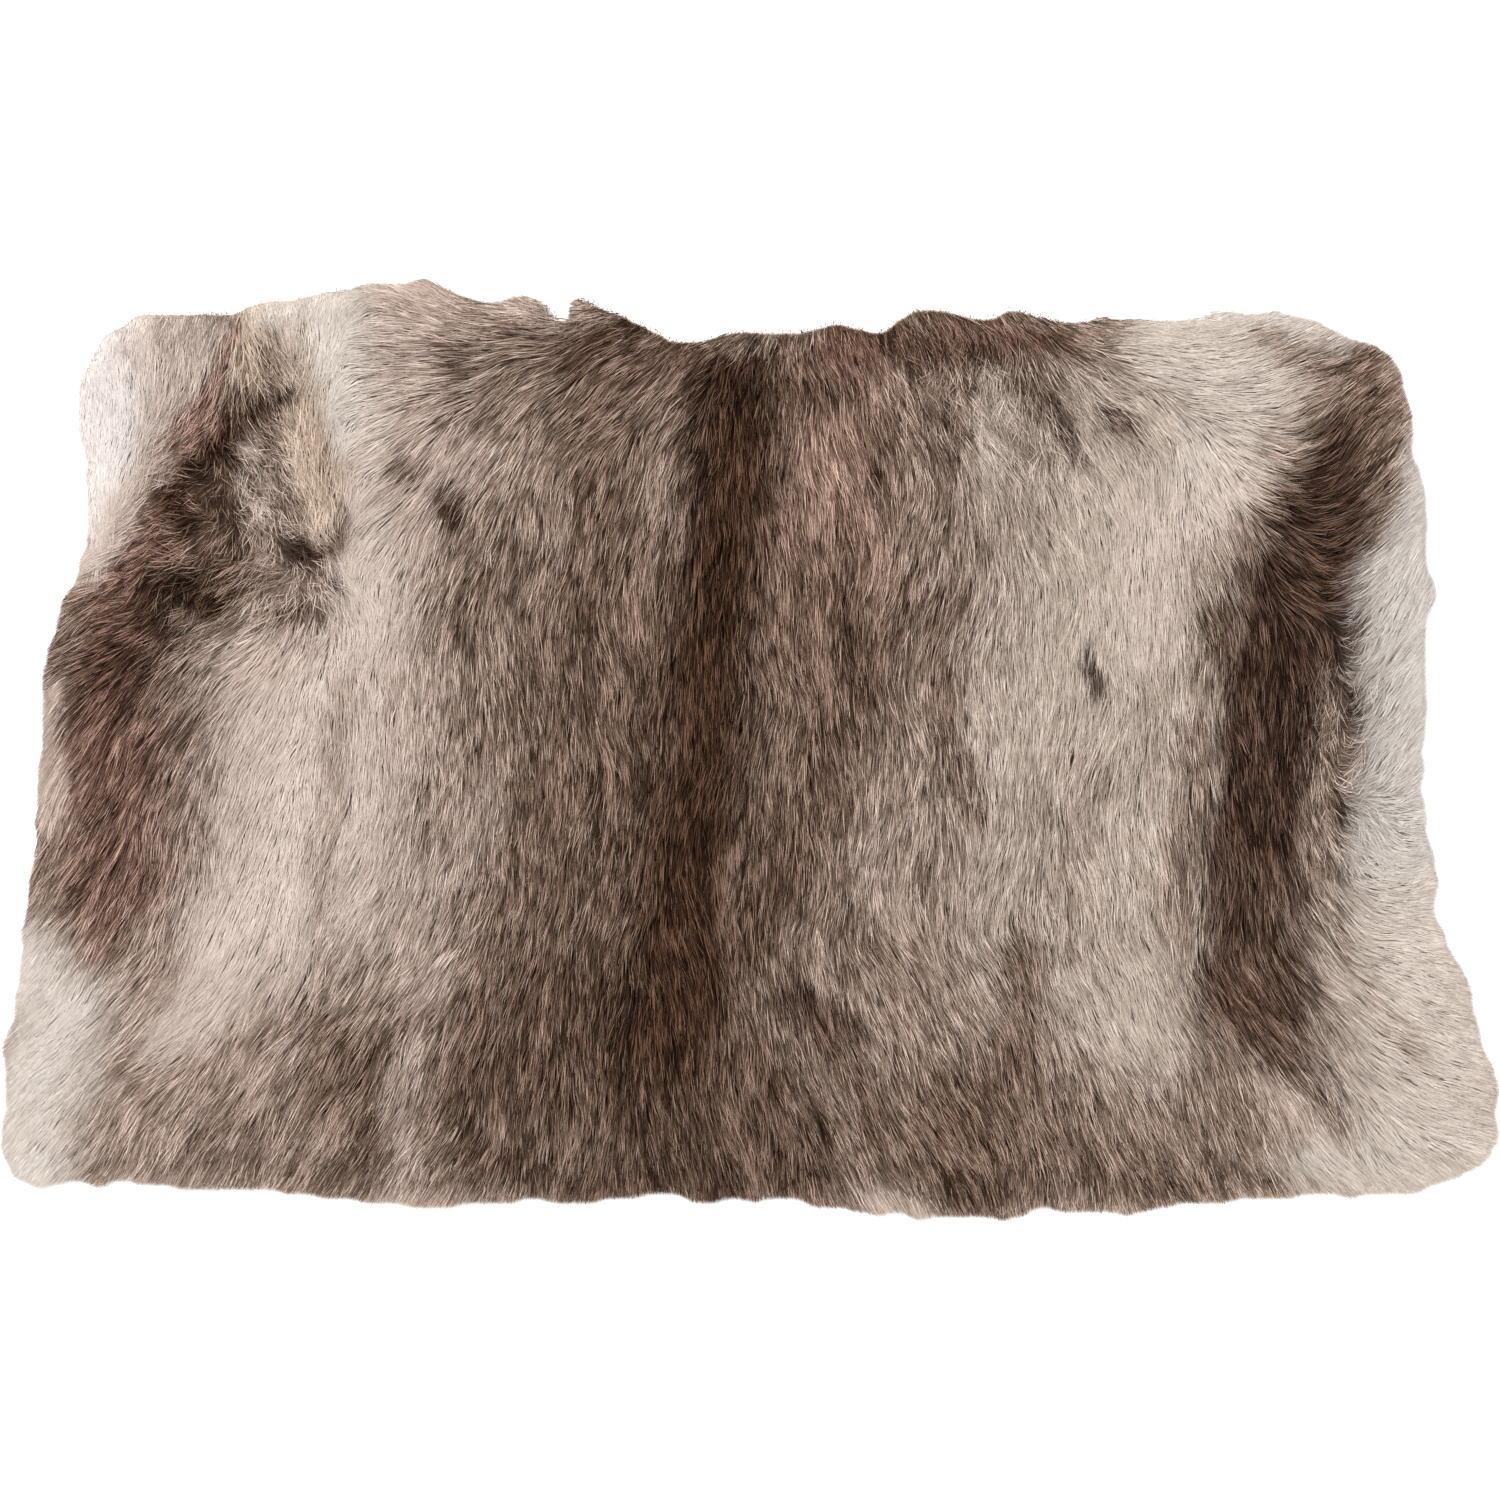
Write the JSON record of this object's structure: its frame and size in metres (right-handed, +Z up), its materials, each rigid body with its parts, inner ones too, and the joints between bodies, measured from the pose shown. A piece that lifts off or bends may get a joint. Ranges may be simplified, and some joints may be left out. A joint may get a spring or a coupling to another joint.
{
  "type": "reindeer skin seat pad",
  "caption": "Flat trimmed reindeer hide with its winter coat of brown, taupe and cream hair, laid on a chair, bench or floor as a warm seat pad.",
  "frame": {"origin": "middle of the hide's outline, on the surface that its flesh side lies on", "axes": "+X from the left flank to the right one, +Y towards the neck end, +Z up through the coat"},
  "size_m": [0.65, 0.408, 0.026],
  "materials": {
    "coat": "matt hollow winter hair, brown and taupe to cream, on a tanned skin"
  },
  "bodies": {
    "root": {"hide": "coat"}
  },
  "joints": []
}
